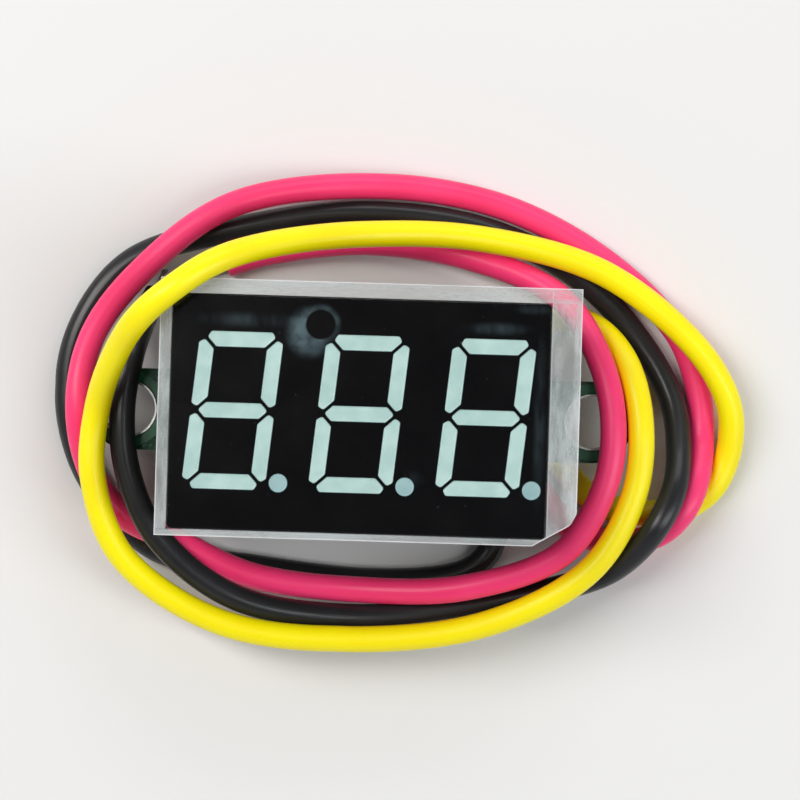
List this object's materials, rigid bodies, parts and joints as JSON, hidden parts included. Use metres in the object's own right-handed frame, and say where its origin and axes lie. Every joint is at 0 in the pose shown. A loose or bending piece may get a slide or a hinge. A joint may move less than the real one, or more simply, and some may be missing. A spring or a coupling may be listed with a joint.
{
  "type": "digital panel meter",
  "caption": "Bare LED panel voltmeter module with a screw-eared circuit board, loosely wound lead wires and a protective film on its face.",
  "frame": {"origin": "under the middle of the module, on the surface that its pins stand on", "axes": "+X along the digits to the right end with the wires' pads, +Y to the tops of the digits, +Z out of the display's face"},
  "size_m": [0.0427, 0.0295, 0.0128],
  "materials": {
    "black_housing": "smooth",
    "segment_epoxy": "milky, satin",
    "base_epoxy": "matte",
    "tinned_pin": "bright tin",
    "clear_film": "clear, slightly milky",
    "solder_mask": "dark green solder mask",
    "masked_copper": "copper under green solder mask",
    "solder": "shiny solder",
    "moulded_black": "fine matte",
    "tinned_lead": "satin tin",
    "resistor_glaze": "glazed",
    "end_cap": "tinned",
    "capacitor_ceramic": "ceramic",
    "trimmer_ceramic": "matte",
    "rotor_metal": "satin",
    "tinned_pad": "tinned copper",
    "red_insulation": "satin PVC",
    "black_insulation": "satin PVC",
    "yellow_insulation": "satin PVC",
    "tinned_strands": "tinned"
  },
  "bodies": {
    "module": {"display_housing": "black_housing", "digit_1_segments": "segment_epoxy", "digit_2_segments": "segment_epoxy", "digit_3_segments": "segment_epoxy", "decimal_points": "segment_epoxy", "display_base": "base_epoxy", "display_pins": "tinned_pin", "protective_film": "clear_film", "main_board": "solder_mask", "ear_rings": "masked_copper", "pin_solder_joints": "solder", "microcontroller_body": "moulded_black", "microcontroller_leads": "tinned_lead", "regulator_body": "moulded_black", "regulator_leads": "tinned_lead", "diode_body": "moulded_black", "diode_terminals": "tinned_lead", "chip_resistors": "resistor_glaze", "resistor_end_caps": "end_cap", "chip_capacitors": "capacitor_ceramic", "capacitor_end_caps": "end_cap", "trimmer_base": "trimmer_ceramic", "trimmer_terminals": "tinned_lead", "wire_pads": "tinned_pad", "wire_solder_joints": "solder", "red_wire": "red_insulation", "black_wire": "black_insulation", "yellow_wire": "yellow_insulation", "red_wire_ends": "tinned_strands", "black_wire_ends": "tinned_strands", "yellow_wire_ends": "tinned_strands"},
    "rotor": {"trimmer_rotor": "rotor_metal"}
  },
  "joints": [
    {"name": "trimmer_turn", "type": "hinge", "parent": "module", "child": "rotor", "pos_m": [-0.0082, 0.0002, 0.0009], "axis": [0, 0, 1], "range_deg": [-125, 125]}
  ]
}
